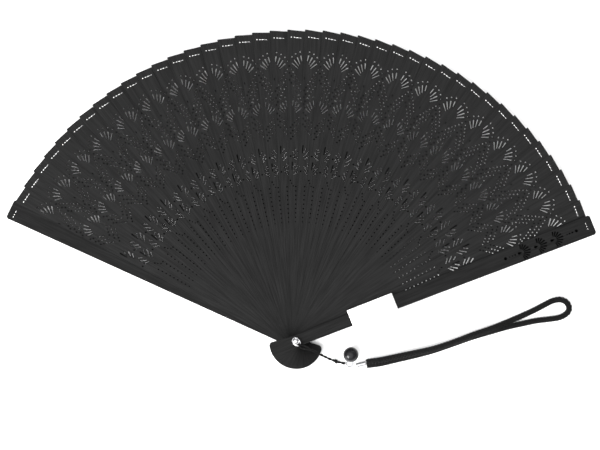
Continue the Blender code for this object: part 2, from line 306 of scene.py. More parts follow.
def new_material(name, roughness, metallic=0.0):
    """A Principled material, with its node tree and its shader."""
    made = bpy.data.materials.new(name)
    made.use_nodes = True
    tree = made.node_tree
    shader = tree.nodes["Principled BSDF"]
    shader.inputs["Roughness"].default_value = roughness
    shader.inputs["Metallic"].default_value = metallic
    return made, tree, shader


def object_position(tree, stretch=(1.0, 1.0, 1.0)):
    """The object's own coordinates, scaled for a pattern's grain."""
    coordinates = tree.nodes.new("ShaderNodeTexCoord")
    mapping = tree.nodes.new("ShaderNodeMapping")
    mapping.inputs["Scale"].default_value = stretch
    tree.links.new(coordinates.outputs["Object"], mapping.inputs["Vector"])
    return mapping.outputs["Vector"]


def noise(tree, position, scale, detail, per_object=False):
    """A noise texture's value; per_object gives each piece its own pattern."""
    texture = tree.nodes.new("ShaderNodeTexNoise")
    texture.inputs["Scale"].default_value = scale
    texture.inputs["Detail"].default_value = detail
    tree.links.new(position, texture.inputs["Vector"])
    if per_object:
        texture.noise_dimensions = "4D"
        info = tree.nodes.new("ShaderNodeObjectInfo")
        spread = tree.nodes.new("ShaderNodeMath")
        spread.operation = "MULTIPLY"
        spread.inputs[1].default_value = PIECE_SPREAD
        tree.links.new(info.outputs["Random"], spread.inputs[0])
        tree.links.new(spread.outputs[0], texture.inputs["W"])
    return texture.outputs["Fac"]


def grey(level):
    return level, level, level


def colour_between(tree, value, dark, light, low=0.35, high=0.65):
    """A colour that runs from dark to light as the value runs from low to high."""
    ramp = tree.nodes.new("ShaderNodeValToRGB")
    ramp.color_ramp.elements[0].position = low
    ramp.color_ramp.elements[0].color = (*dark, 1.0)
    ramp.color_ramp.elements[1].position = high
    ramp.color_ramp.elements[1].color = (*light, 1.0)
    tree.links.new(value, ramp.inputs["Fac"])
    return ramp.outputs["Color"]


def add_bump(tree, shader, value, strength, distance):
    bump = tree.nodes.new("ShaderNodeBump")
    bump.inputs["Strength"].default_value = strength
    bump.inputs["Distance"].default_value = distance
    tree.links.new(value, bump.inputs["Height"])
    tree.links.new(bump.outputs["Normal"], shader.inputs["Normal"])


def dyed_wood(name, dark, light, roughness):
    """Black-dyed wood whose fine grain runs along the blade. With near-black colours it also makes the
    painted shade in the blind holes.
    """
    made, tree, shader = new_material(name, roughness)
    shader.inputs["Specular IOR Level"].default_value = 0.03
    position = object_position(tree, stretch=(1.0, 0.035, 1.0))
    grain = noise(tree, position, scale=1900.0, detail=4.0, per_object=True)
    tree.links.new(colour_between(tree, grain, dark, light), shader.inputs["Base Color"])
    add_bump(tree, shader, grain, strength=0.25, distance=0.05 * MM)
    return made


def chrome():
    made, tree, shader = new_material("chrome", roughness=0.1, metallic=1.0)
    shade = noise(tree, object_position(tree), scale=400.0, detail=2.0)
    colour = colour_between(tree, shade, (0.38, 0.38, 0.39), (0.46, 0.46, 0.47))
    tree.links.new(colour, shader.inputs["Base Color"])
    return made


def paper():
    made, tree, shader = new_material("paper", roughness=0.75)
    pulp = noise(tree, object_position(tree), scale=900.0, detail=5.0)
    colour = colour_between(tree, pulp, (0.84, 0.84, 0.83), (0.90, 0.90, 0.89))
    tree.links.new(colour, shader.inputs["Base Color"])
    add_bump(tree, shader, pulp, strength=0.1, distance=0.05 * MM)
    return made


def fibre(name, dark, light, scale, roughness):
    """Dyed yarn: fine hairs, and a soft sheen at the edges."""
    made, tree, shader = new_material(name, roughness)
    shader.inputs["Sheen Weight"].default_value = 0.01
    shader.inputs["IOR"].default_value = 1.2
    shader.inputs["Sheen Roughness"].default_value = 0.4
    hairs = noise(tree, object_position(tree), scale, detail=4.0)
    tree.links.new(colour_between(tree, hairs, dark, light), shader.inputs["Base Color"])
    add_bump(tree, shader, hairs, strength=0.5, distance=0.06 * MM)
    return made


def white_thread():
    made, tree, shader = new_material("white_thread", roughness=0.45)
    twist = noise(tree, object_position(tree), scale=2500.0, detail=2.0)
    colour = colour_between(tree, twist, grey(0.70), grey(0.90))
    tree.links.new(colour, shader.inputs["Base Color"])
    return made


def black_glass():
    made, tree, shader = new_material("bead", roughness=0.06)
    shader.inputs["IOR"].default_value = 1.3
    cloud = noise(tree, object_position(tree), scale=250.0, detail=2.0)
    colour = colour_between(tree, cloud, (0.004, 0.004, 0.005), (0.010, 0.010, 0.011))
    tree.links.new(colour, shader.inputs["Base Color"])
    return made


def floor_white():
    made, tree, shader = new_material("floor_white", roughness=0.6)
    shader.inputs["Specular IOR Level"].default_value = 0.1
    mottle = noise(tree, object_position(tree), scale=30.0, detail=2.0)
    colour = colour_between(tree, mottle, grey(0.88), grey(0.90))
    tree.links.new(colour, shader.inputs["Base Color"])
    return made


# ---------------------------------------------------------------- shapes


def add_object(name, data, *finishes):
    for finish in finishes:
        data.materials.append(finish)
    obj = bpy.data.objects.new(name, data)
    bpy.context.scene.collection.objects.link(obj)
    return obj


def circle(radius, sides, centre=(0.0, 0.0)):
    turns = [2 * math.pi * index / sides for index in range(sides)]
    return [(centre[0] + radius * math.cos(t), centre[1] + radius * math.sin(t)) for t in turns]


def corner(x, y, radius, start):
    """A quarter round whose centre is radius in from the corner at x, y."""
    sides = math.copysign(1.0, x), math.copysign(1.0, y)
    centre = x - sides[0] * radius, y - sides[1] * radius
    angles = [start + math.pi / 2 * step / CORNER_STEPS for step in range(CORNER_STEPS + 1)]
    return [(centre[0] + radius * math.cos(a), centre[1] + radius * math.sin(a)) for a in angles]


def blade_outline(reach, tip_corner, slant=0.0):
    """The blade along +Y: straight taper above the pivot, flared head below it.

    slant is how much the tip falls for each millimetre to the right.
    """
    tip_half = TIP_HALF_WIDTH * reach / GUARD_REACH
    tip = corner(tip_half, reach, tip_corner, 0.0)
    tip += corner(-tip_half, reach, tip_corner, math.pi / 2)
    outline = [(x, y - slant * x) for x, y in tip]
    outline += [(-PIVOT_HALF_WIDTH, 0.0)]
    outline += corner(-HEAD_HALF_WIDTH, -HEAD_REACH, HEAD_CORNER, math.pi)
    outline += corner(HEAD_HALF_WIDTH, -HEAD_REACH, HEAD_CORNER, 1.5 * math.pi)
    outline += [(PIVOT_HALF_WIDTH, 0.0)]
    return outline


def ray(start, end, start_half=RAY_INNER_HALF_WIDTH, end_half=RAY_HALF_WIDTH, steps=3):
    """A slot with round ends that widens from start to end."""
    heading = math.atan2(end[1] - start[1], end[0] - start[0])
    outline = []
    for centre, radius, first in ((end, end_half, -0.5), (start, start_half, 0.5)):
        for step in range(steps + 1):
            angle = heading + math.pi * (first + step / steps)
            outline.append((centre[0] + radius * math.cos(angle), centre[1] + radius * math.sin(angle)))
    return outline


def dot(x, y, radius=DOT_RADIUS):
    return circle(radius, DOT_SIDES, (x, y))


def turned(outline, angle):
    """An outline turned anticlockwise about the rivet."""
    c, s = math.cos(angle), math.sin(angle)
    return [(x * c - y * s, x * s + y * c) for x, y in outline]


def half_width(radius):
    """Half a blade's width at a distance from the rivet."""
    return PIVOT_HALF_WIDTH + (TIP_HALF_WIDTH - PIVOT_HALF_WIDTH) * radius / GUARD_REACH


def covered(radius):
    """How far a blade reaches past the line midway to its neighbour."""
    return half_width(radius) - radius * math.tan(HALF_STEP)


# Each pattern straddles the line midway between two neighbouring blades. The
# functions below draw one side of it: side is +1 for what the upper blade
# carries, right of that line, and -1 for what shows on the lower blade.


def shell_half(side, radius, scale):
    """Half a scallop shell: four slots that fan out from a point, and a dot past each."""
    holes = []
    for angle, inner, outer in SHELL_RAYS:
        across = side * math.sin(math.radians(angle))
        along = math.cos(math.radians(angle))

        def place(distance):
            return SHELL_SHIFT + across * distance * scale, radius + along * distance * scale

        holes.append(ray(place(inner), place(outer)))
        holes.append(dot(*place(outer + SHELL_DOT_GAP), SHELL_DOT_RADIUS))
    return holes


def leaf_half(side, radius, lag):
    """Half a leaf: three slanting slots; lag sets the lower blade's half back."""
    shift = LEAF_SHIFT if side > 0 else LEAF_SHIFT - lag
    holes = []
    for inner, outer in LEAF_RAYS:
        start = shift + side * inner[0], radius + inner[1]
        end = shift + side * outer[0], radius + outer[1]
        holes.append(ray(start, end, LEAF_INNER_HALF_WIDTH, LEAF_HALF_WIDTH))
    return holes


def band_dots(side, centred_low, blind=False):
    """The triple dotted bands that rise and fall between the motifs.

    centred_low is True at the lines where the rising band has its foot. The dots
    over the lower blade are blind, and the others are open.
    """
    holes = []
    runs = (
        (BAND_START, BAND_LINE_DROP, BAND_RISE, BAND_DOTS),
        (VALLEY_START, VALLEY_LINE_DROP, -VALLEY_FALL, VALLEY_DOTS),
    )
    for start, line_drop, rise, steps in runs:
        for line in range(BAND_LINES):
            for index in range(steps // 2 + 1):
                step = index if centred_low else steps - index
                radius = start - line * line_drop + rise * step
                across = radius * math.tan(FAN_STEP) * index / steps
                if blind == (across < covered(radius) + BAND_OVERLAP):
                    holes.append(dot(side * across, radius, BLIND_DOT_RADIUS if blind else DOT_RADIUS))
    return holes


def upper_row_side(side):
    """The open pattern at a line with the high shell: shell and dots."""
    return shell_half(side, UPPER_SHELL_RADIUS, 1.0) + band_dots(side, centred_low=True)


def lower_row_side(side):
    """The open pattern at a line with the low shell: shell and dots."""
    return shell_half(side, LOWER_SHELL_RADIUS, LOWER_SHELL_SCALE) + band_dots(side, centred_low=False)


def leaf_slit(radius, drop):
    """The slit that points outwards from the middle of a leaf."""
    start, end = [radius + reach - drop for reach in LEAF_SLIT]
    far_shift = LEAF_SHIFT + LEAF_SLIT_SPREAD
    return ray((LEAF_SHIFT, start), (far_shift, end), *LEAF_SLIT_HALF_WIDTHS)


def upper_row_pockets():
    """The blind cuts at a line with the high shell: crossing, shell's foot, slit and a dot."""
    cuts = band_dots(1, centred_low=True, blind=True)
    cuts.append(ray(*SHELL_FOOT, *SHELL_FOOT_HALF_WIDTHS))
    cuts.append(leaf_slit(UPPER_LEAF_RADIUS, 0.0))
    return cuts + [dot(*spot) for spot in UPPER_LINE_SPOTS]


def lower_row_pockets():
    """The blind cuts at a line with the low shell: crossing, slit and a short run of dots."""
    cuts = band_dots(1, centred_low=False, blind=True)
    cuts.append(leaf_slit(LOWER_LEAF_RADIUS, LOWER_SLIT_DROP))
    return cuts + [dot(*spot) for spot in LOWER_LINE_SPOTS]


def column_dots(radius=DOT_RADIUS):
    """The column of dots down the middle of an inner stick."""
    places = [COLUMN_START - COLUMN_PITCH * index for index in range(COLUMN_DOTS)]
    return [dot(COLUMN_SHIFT, place, radius) for place in places]


def pockets(even):
    """Blind cuts of an inner stick that lie over the stick below; their lining is near-black painted
    shade, so they look black like holes onto the shaded stick.
    """
    return [turned(cut, HALF_STEP) for cut in (lower_row_pockets() if even else upper_row_pockets())]


def shells_and_bands(even):
    """The outer piercings of an inner stick; neighbours alternate."""
    left, right = (lower_row_side, upper_row_side) if even else (upper_row_side, lower_row_side)
    holes = [turned(hole, HALF_STEP) for hole in left(1)]
    holes += [turned(hole, -HALF_STEP) for hole in right(-1)]
    return holes


def leaf_holes(even):
    """The leaves of an inner stick, which light comes through."""
    upper = (UPPER_LEAF_RADIUS, UPPER_LEAF_LAG)
    lower = (LOWER_LEAF_RADIUS, LOWER_LEAF_LAG)
    left, right = (lower, upper) if even else (upper, lower)
    holes = [turned(hole, HALF_STEP) for hole in leaf_half(1, *left)]
    return holes + [turned(hole, -HALF_STEP) for hole in leaf_half(-1, *right)]


def widened(outline, extra):
    """A rounded outline grown by extra all round."""
    grown = []
    count = len(outline)
    for index, (x, y) in enumerate(outline):
        before, after = outline[index - 1], outline[(index + 1) % count]
        along = Vector((after[0] - before[0], after[1] - before[1])).normalized()
        grown.append((x + along.y * extra, y - along.x * extra))
    return grown


def clearance_holes(even, lined_up):
    """Wider holes under the leaves of the stick above, and under its dots where they line up."""
    above = leaf_holes(not even)
    if lined_up:
        above += column_dots()
    holes = []
    for hole in above:
        wide = widened(turned(hole, -FAN_STEP), HOLE_CLEARANCE)
        if min(x - edge_limit(y) for x, y in wide) < -MIN_CLEARANCE_WIDTH:
            holes.append([(min(x, edge_limit(y)), y) for x, y in wide])
    return holes


def edge_limit(y):
    """How far to the right a clearance hole may reach, so that the blade keeps its edge."""
    return half_width(y) - EDGE_STRIP


def guard_shell(radius):
    """A small shell of nine slots across the guard."""
    holes = []
    for index in range(-GUARD_SIDE_SLOTS, GUARD_SIDE_SLOTS + 1):
        angle = math.radians(GUARD_SHELL_STEP * index)
        outer = GUARD_SHELL_OUTER - GUARD_SHELL_FALL * abs(index)
        ends = [(math.sin(angle) * d, radius + math.cos(angle) * d) for d in (GUARD_SHELL_INNER, outer)]
        holes.append(ray(*ends, *GUARD_SLOT_HALF_WIDTHS))
    return holes


def guard_holes():
    """The right guard's pattern: three shells, each on a drop-shaped foot, and runs of dots."""
    holes = [dot(*spot) for spot in GUARD_DOTS]
    for radius in GUARD_SHELL_FEET:
        start, end = [(0.0, radius + reach) for reach in GUARD_FOOT]
        holes.append(ray(start, end, *GUARD_FOOT_HALF_WIDTHS))
        holes += guard_shell(radius + GUARD_SHELL_RISE)
    return holes


def pierced_plate(name, outline, holes, blind_holes, thick, edge=0.0):
    """A flat plate centred on z = 0, cut by holes that may run into each other.

    The outline and the holes are in millimetres and the mesh is in metres; edge
    is the width of the round on its rims. The blind holes keep a thin lining,
    which takes the plate's second material: near-black painted shade that
    stands for the shadow seen down a hole.
    """
    corners = []
    loops = []
    for points in [outline, *holes, *blind_holes]:
        loops.append(list(range(len(corners), len(corners) + len(points))))
        corners += [Vector(point) for point in points]
    cut = delaunay_2d_cdt(corners, [], loops, 1, CUT_TOLERANCE)
    flat, triangles, sources = cut[0], cut[2], cut[5]
    made = bmesh.new()
    heights = [thick / 2, LINING - thick / 2, -thick / 2]
    levels = [[made.verts.new((x * MM, y * MM, z * MM)) for x, y in flat] for z in heights]
    sides = {}
    for face, source in zip(triangles, sources):
        if any(0 < index <= len(holes) for index in source):
            continue
        # A blind hole's lining and its walls take material 1, the painted shade.
        upper = 1 if len(source) > 1 else 0
        made.faces.new([levels[upper][index] for index in face]).material_index = upper
        made.faces.new([levels[2][index] for index in reversed(face)])
        for index in range(len(face)):
            sides[(face[index - 1], face[index])] = upper
    for (start, end), upper in sides.items():
        beyond = sides.get((end, start), 2)
        if upper < beyond:
            high, low = levels[upper], levels[beyond]
            wall = made.faces.new([high[end], high[start], low[start], low[end]])
            wall.material_index = 1 if beyond == 1 else 0
    loose = [vert for vert in made.verts if not vert.link_faces]
    bmesh.ops.delete(made, geom=loose, context="VERTS")
    if edge:
        rims = [rim for rim in made.edges if rim.is_manifold and rim.calc_face_angle() > RIM_ANGLE]
        rims = [rim for rim in rims if abs(rim.verts[0].co.z - rim.verts[1].co.z) < RIM_LEVEL]
        bmesh.ops.bevel(made, geom=rims, offset=edge * MM, segments=2, affect="EDGES", profile=0.5)
    mesh = bpy.data.meshes.new(name)
    made.to_mesh(mesh)
    made.free()
    return mesh


def lathe(name, profile, sides=RING_SIDES):
    """A body turned about Z from (radius, height) points that start on the axis or close up."""
    points = []
    rings = []
    for radius, height in profile:
        count = sides if radius > 0 else 1
        rings.append([len(points) + side for side in range(count)])
        points += [(x, y, height) for x, y in circle(radius, count)]
    if profile[0][0] > 0:
        rings.append(rings[0])
    faces = []
    for lower, upper in zip(rings, rings[1:]):
        for side in range(sides):
            after = (side + 1) % sides
            face = [
                lower[side % len(lower)],
                lower[after % len(lower)],
                upper[after % len(upper)],
                upper[side % len(upper)],
            ]
            faces.append(list(dict.fromkeys(face)))
    mesh = bpy.data.meshes.new(name)
    mesh.from_pydata(points, [], faces)
    mesh.validate()
    mesh.shade_smooth()
    mesh.set_sharp_from_angle(angle=TURNED_ANGLE)
    return mesh


def aim(obj, start, along):
    """Puts the object's origin at start with its +Z pointing along."""
    obj.location = start
    obj.rotation_euler = along.to_track_quat("Z", "Y").to_euler()


def sweep(mesh_data, line, radii, sides=8, flat=1.0):
    """Adds a closed tube along a line to (points, faces); flat squeezes it in its own height."""
    points, faces = mesh_data
    first = len(points)
    count = len(line)
    for index, place in enumerate(line):
        ahead = line[min(index + 1, count - 1)] - line[max(index - 1, 0)]
        ahead.normalize()
        across = ahead.cross(Vector((0.0, 0.0, 1.0)))
        if across.length < STEEP:
            across = ahead.cross(Vector((0.0, 1.0, 0.0)))
        across.normalize()
        rise = across.cross(ahead)
        radius = radii[index] if isinstance(radii, (list, tuple)) else radii
        for side in range(sides):
            turn = 2 * math.pi * side / sides
            beside = across * (radius * math.cos(turn))
            above = rise * (radius * flat * math.sin(turn))
            points.append(place + beside + above)
    for ring in range(count - 1):
        base = first + ring * sides
        for side in range(sides):
            after = (side + 1) % sides
            faces.append((base + side, base + after, base + sides + after, base + sides + side))
    faces.append(tuple(first + side for side in reversed(range(sides))))
    faces.append(tuple(first + (count - 1) * sides + side for side in range(sides)))


def mesh_from(name, mesh_data):
    points, faces = mesh_data
    mesh = bpy.data.meshes.new(name)
    mesh.from_pydata(points, [], faces)
    mesh.validate()
    made = bmesh.new()
    made.from_mesh(mesh)
    bmesh.ops.recalc_face_normals(made, faces=made.faces)
    made.to_mesh(mesh)
    made.free()
    mesh.shade_smooth()
    mesh.set_sharp_from_angle(angle=SWEPT_ANGLE)
    return mesh


def smooth_route(route, spacing):
    """Evenly spaced points on the smooth curve through a route in millimetres."""
    knots = [Vector(point) * MM for point in route]
    first = 2 * knots[0] - knots[1]
    last = 2 * knots[-1] - knots[-2]
    padded = [first, *knots, last]
    fine = []
    for before, start, end, after in zip(padded, padded[1:], padded[2:], padded[3:]):
        for step in range(SMOOTHING_STEPS):
            t = step / SMOOTHING_STEPS
            fine.append(
                start
                + (end - before) * (t / 2)
                + (2 * before - 5 * start + 4 * end - after) * (t * t / 2)
                + (3 * start - before - 3 * end + after) * (t**3 / 2)
            )
    fine.append(knots[-1])
    reached = [0.0]
    for start, end in zip(fine, fine[1:]):
        reached.append(reached[-1] + (end - start).length)
    count = round(reached[-1] / spacing)
    points = []
    index = 0
    for step in range(count + 1):
        wanted = reached[-1] * step / count
        while index < len(fine) - 2 and reached[index + 1] < wanted:
            index += 1
        share = (wanted - reached[index]) / (reached[index + 1] - reached[index])
        points.append(fine[index].lerp(fine[index + 1], min(share, 1.0)))
    return points


def carried(line, index):
    """The across and upward directions of a line at a point."""
    ahead = line[min(index + 1, len(line) - 1)] - line[max(index - 1, 0)]
    across = ahead.cross(Vector((0.0, 0.0, 1.0))).normalized()
    return across, across.cross(ahead.normalized())


# ---------------------------------------------------------------- pieces


def centre_height(node):
    low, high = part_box(node)
    return (low.z + high.z) / 2


def place_blade(name, mesh, layer, body, lean=0.0):
    """A blade at its CAD node's height, turned to its place in the fan.

    lean raises its left edge, which lies over the blade before it.
    """
    obj = add_object(f"{name}_look", mesh)
    obj.location = (0.0, 0.0, centre_height(name))
    turn = Matrix.Rotation(HALF_SPREAD - layer * FAN_STEP, 4, "Z") @ Matrix.Rotation(lean, 4, "Y")
    obj.rotation_euler = turn.to_euler()
    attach(obj, body)
    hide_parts(name)
    return obj


def stitch(mesh_data, x, y, top, half_long, half_wide, heading):
    """A short flat stitch of thread, lying in the surface at height top."""
    along = Vector((math.cos(heading), math.sin(heading), 0.0))
    centre = Vector((x, y, top - THREAD_SINK))
    line = [(centre + along * half_long * share) * MM for share in THREAD_SHARES]
    swell = [math.sqrt(1.0 + THREAD_BLUNT - share * share) for share in THREAD_SHARES]
    radii = [half_wide * MM * size for size in swell]
    sweep(mesh_data, line, radii, sides=8, flat=THREAD_HALF_THICK / half_wide)


def stick_stitches():
    """The linking thread where it shows on a stick: short stitches and a fine run."""
    data = ([], [])
    left = -TIP_HALF_WIDTH * STICK_REACH / GUARD_REACH
    row = STICK_REACH - THREAD_DROP
    for across, half_long, half_wide in (*STICK_STITCHES, STICK_RUN):
        place = left + across, row + THREAD_SLOPE * (across - FIRST_STITCH)
        stitch(data, *place, STICK_THICK / 2, half_long, half_wide, THREAD_SLOPE)
    return mesh_from("stick_thread", data)


def guard_stitches(stitches):
    """The linking thread where it shows on a guard."""
    data = ([], [])
    for x, half_long, half_wide in stitches:
        stitch(data, x, GUARD_REACH - GUARD_THREAD_DROP, GUARD_THICK / 2, half_long, half_wide, 0.0)
    return mesh_from("guard_thread", data)


def add_thread(blade, mesh, body):
    """The stitches on a blade, as a piece of their own that moves with it."""
    obj = add_object(blade.name.replace("_look", "_thread"), mesh)
    obj.matrix_world = blade.matrix_world
    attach(obj, body)
    return obj


def stick_plates(finishes):
    """The inner sticks' meshes, by whether the stick is even and whether its column is open."""
    outline = blade_outline(STICK_REACH, STICK_CORNER, TIP_SLANT)
    pivot = circle(PIVOT_HOLE, PIVOT_SIDES)
    plates = {}
    for even in (False, True):
        for lined_up in (False, True):
            name = f"stick_{'even' if even else 'odd'}_{'lined_up' if lined_up else 'plain'}"
            holes = [pivot, *shells_and_bands(even), *leaf_holes(even)]
            holes += clearance_holes(even, lined_up)
            blind_holes = pockets(even)
            if lined_up:
                holes += column_dots()
            else:
                # These dots are blind pockets, lined with painted shade so that they look black.
                blind_holes += column_dots(COLUMN_BLIND_RADIUS)
            plate = pierced_plate(name, outline, holes, blind_holes, STICK_THICK)
            for finish in finishes:
                plate.materials.append(finish)
            plates[even, lined_up] = plate
    return plates


def build_sticks(finishes, thread_finish):
    plates = stick_plates(finishes)
    thread = stick_stitches()
    thread.materials.append(thread_finish)
    bpy.context.view_layer.update()
    for layer in range(1, INNER_STICKS + 1):
        name = f"stick_{layer:02d}"
        plate = plates[layer % 2 == 0, layer >= FIRST_LINED_UP]
        lean = min(STICK_LEAN, LEAN_STEP * min(layer - 1, INNER_STICKS - layer))
        blade = place_blade(name, plate, layer, f"{name}_body", lean)
        bpy.context.view_layer.update()
        add_thread(blade, thread, f"{name}_body")


def build_guards(finishes, thread_finish):
    outline = blade_outline(GUARD_REACH, GUARD_CORNER)
    pivot = circle(PIVOT_HOLE, PIVOT_SIDES)
    # The right guard's pattern is cut as blind holes, whose lining takes the painted shade.
    guards = (
        ("left", "plain_guard", [], 0, LEFT_GUARD_STITCHES),
        ("right", "pierced_guard", guard_holes(), INNER_STICKS + 1, RIGHT_GUARD_STITCHES),
    )
    for side, mesh_name, blind_holes, layer, places in guards:
        mesh = pierced_plate(mesh_name, outline, [pivot], blind_holes, GUARD_THICK, GUARD_EDGE)
        for finish in finishes:
            mesh.materials.append(finish)
        guard = place_blade(f"{side}_guard", mesh, layer, f"{side}_guard_body")
        bpy.context.view_layer.update()
        stitches = guard_stitches(places)
        stitches.materials.append(thread_finish)
        add_thread(guard, stitches, f"{side}_guard_body")


def build_rivet(finish):
    """The rivet's pin with its domed head, the washer, and the wire bail."""
    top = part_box("rivet_pin")[1].z
    washer_low, washer_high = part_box("rivet_washer")
    bail_low, bail_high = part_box("rivet_bail")
    back = RIVET_BACK_RADIUS * MM
    back_thick = RIVET_BACK_THICK * MM
    edge = RIVET_EDGE * MM
    pin = RIVET_PIN_RADIUS * MM
    neck = RIVET_NECK_RADIUS * MM
    dome_base = bail_high.z + DOME_LIFT * MM
    profile = [(0.0, 0.0), (back - edge, 0.0), (back, edge)]
    profile += [(back - edge, back_thick), (pin, back_thick), (pin, washer_high.z)]
    profile += [(neck, washer_high.z), (neck, dome_base), (DOME_RADIUS * MM - edge, dome_base)]
    for step in range(DOME_STEPS + 1):
        rise = math.pi / 2 * step / DOME_STEPS
        radius = DOME_RADIUS * MM * math.cos(rise) if step < DOME_STEPS else 0.0
        height = dome_base + edge + (top - dome_base - edge) * math.sin(rise)
        profile.append((radius, height))
    made = add_object("rivet_pin_look", lathe("rivet_pin_look", profile), finish)
    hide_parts("rivet_pin")

    radius = (washer_high.x - washer_low.x) / 2
    hole = PIVOT_HOLE * MM
    base, top = washer_low.z, washer_high.z
    profile = [(hole, base), (radius, base), (radius, top - edge), (radius - edge, top), (hole, top)]
    washer = add_object("rivet_washer_look", lathe("rivet_washer_look", profile), finish)
    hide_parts("rivet_washer")

    along = Vector((math.cos(BAIL_HEADING), math.sin(BAIL_HEADING), 0.0))
    middle = along * BAIL_OFFSET * MM + Vector((0.0, 0.0, (bail_low.z + bail_high.z) / 2))
    lengths = [length * MM for length in (BAIL_HALF_LENGTH, BAIL_HALF_WIDTH, BAIL_WIRE_RADIUS)]
    bail = wire_ring("rivet_bail_look", *lengths, finish)
    bail.location = middle
    bail.rotation_euler = (0.0, 0.0, BAIL_HEADING)
    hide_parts("rivet_bail")
    for obj in (made, washer, bail):
        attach(obj, ROOT)


def wire_ring(name, half_long, half_wide, wire_radius, finish):
    curve = bpy.data.curves.new(name, "CURVE")
    curve.dimensions = "3D"
    curve.bevel_depth = wire_radius
    curve.bevel_resolution = 4
    spline = curve.splines.new("POLY")
    unit = circle(1.0, RING_SIDES)
    spline.points.add(len(unit) - 1)
    for point, (x, y) in zip(spline.points, unit):
        point.co = (half_long * x, half_wide * y, 0.0, 1.0)
    spline.use_cyclic_u = True
    return add_object(name, curve, finish)


def label_section(top, middle):
    """The label's section as (across, height): down round the guard's right edge and back."""
    fold = []
    for step in range(LABEL_FOLD_STEPS + 1):
        turn = math.pi / 2 + math.pi * step / LABEL_FOLD_STEPS
        height = middle + (top - middle) * math.sin(turn)
        fold.append((LABEL_SLEEVE - LABEL_FOLD_DEPTH * math.cos(turn), height))
    upper = [(across, middle + rise) for across, rise in LABEL_TAIL]
    upper += [(LABEL_SHOULDER, top - LABEL_SHOULDER_DROP)]
    upper += [(across, top) for across in LABEL_FLAT]
    lower = [(across, 2 * middle - height) for across, height in reversed(upper)]
    return upper + fold + lower


def build_label(finish):
    """The blank paper label, folded round the right guard with its ends pressed together."""
    guard_low, guard_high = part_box("right_guard")
    top = guard_high.z / MM + LABEL_GAP
    middle = (guard_low.z + guard_high.z) / 2 / MM
    line = label_section(top, middle)
    heading = math.pi / 2 - HALF_SPREAD
    along = Vector((math.cos(heading), math.sin(heading), 0.0))
    across = Vector((-along.y, along.x, 0.0))
    points = []
    faces = []
    for row in range(LABEL_ROWS + 1):
        reach = LABEL_START + LABEL_LENGTH * row / LABEL_ROWS
        for x, z in line:
            ripple = math.sin(reach * LABEL_RIPPLES[0] + x * LABEL_RIPPLES[1])
            wave = LABEL_WAVE * ripple * max(0.0, -x - LABEL_WAVE_START)
            points.append((along * reach + across * x + Vector((0.0, 0.0, z + wave))) * MM)
    width = len(line)
    for row in range(LABEL_ROWS):
        for index in range(width - 1):
            base = row * width + index
            faces.append((base, base + 1, base + width + 1, base + width))
    mesh = mesh_from("paper_label_look", (points, faces))
    label = add_object("paper_label_look", mesh, finish)
    solid = label.modifiers.new("thickness", "SOLIDIFY")
    solid.thickness = LABEL_THICK * MM
    solid.offset = 0.0
    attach(label, ROOT)
    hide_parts("paper_label")


def build_string(finish):
    """Two fine strings from the bail, twisted together and knotted, down to the jump ring."""
    line = smooth_route(STRING_ROUTE, STRING_SPACING * MM)
    data = ([], [])
    strand = STRAND_RADIUS * MM
    outward = Vector((math.cos(BAIL_HEADING), math.sin(BAIL_HEADING), 0.0))
    sideways = outward.cross(Vector((0.0, 0.0, 1.0)))
    for side in (-1, 1):
        path = []
        for reach, height in BAIL_CROSSING:
            beside = sideways * (side * STRAND_RADIUS)
            path.append((outward * reach + beside + Vector((0.0, 0.0, height))) * MM)
        for index, place in enumerate(line[CROSSING_POINTS:], CROSSING_POINTS):
            across, rise = carried(line, index)
            reached = index * STRING_SPACING
            turn = max(0.0, reached - TWIST_START) * 2 * math.pi / TWIST_PITCH
            open_share = max(0.0, 1.0 - abs(reached - STRANDS_OPEN_AT) / STRANDS_OPEN_OVER)
            spread = strand * (STRAND_SPREAD + STRAND_OPENING * open_share)
            offset = across * math.cos(turn) + rise * (TWIST_FLATNESS * math.sin(turn))
            path.append(place + offset * (side * spread))
        sweep(data, path, strand, sides=8)
    build_knot(data)
    string = add_object("strap_string_look", mesh_from("strap_string_look", data), finish)
    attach(string, ROOT)
    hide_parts("strap_string")
    return string, line


def build_knot(data):
    """A small overhand knot where the two strings end together."""
    before, after = [Vector(STRING_ROUTE[index]) for index in KNOT_SPAN]
    along = (after - before).normalized()
    across = along.cross(Vector((0.0, 0.0, 1.0))).normalized()
    for lean in KNOT_LOOPS:
        loop = []
        for step in range(KNOT_STEPS + 1):
            turn = 2 * math.pi * step / KNOT_STEPS
            offset = across * (KNOT_HALF_WIDTH * math.cos(turn))
            offset += Vector((0.0, 0.0, KNOT_HALF_HEIGHT * math.sin(turn)))
            slip = along * (lean + KNOT_SLIP * math.cos(turn))
            loop.append(KNOT_CENTRE + (offset + slip) * MM)
        sweep(data, loop, STRAND_RADIUS * MM, sides=8)


def bead_profile():
    """A ball with a blind bore at its upper end, for the pin."""
    profile = [(0.0, -BEAD_RADIUS)]
    bore = math.asin(BEAD_BORE / BEAD_RADIUS)
    for step in range(1, BEAD_STEPS + 1):
        angle = -math.pi / 2 + (math.pi - bore) * step / BEAD_STEPS
        profile.append((BEAD_RADIUS * math.cos(angle), BEAD_RADIUS * math.sin(angle)))
    profile.append((BEAD_BORE, BEAD_RADIUS - BEAD_BORE_DEPTH))
    profile.append((0.0, BEAD_RADIUS - BEAD_BORE_DEPTH))
    return profile


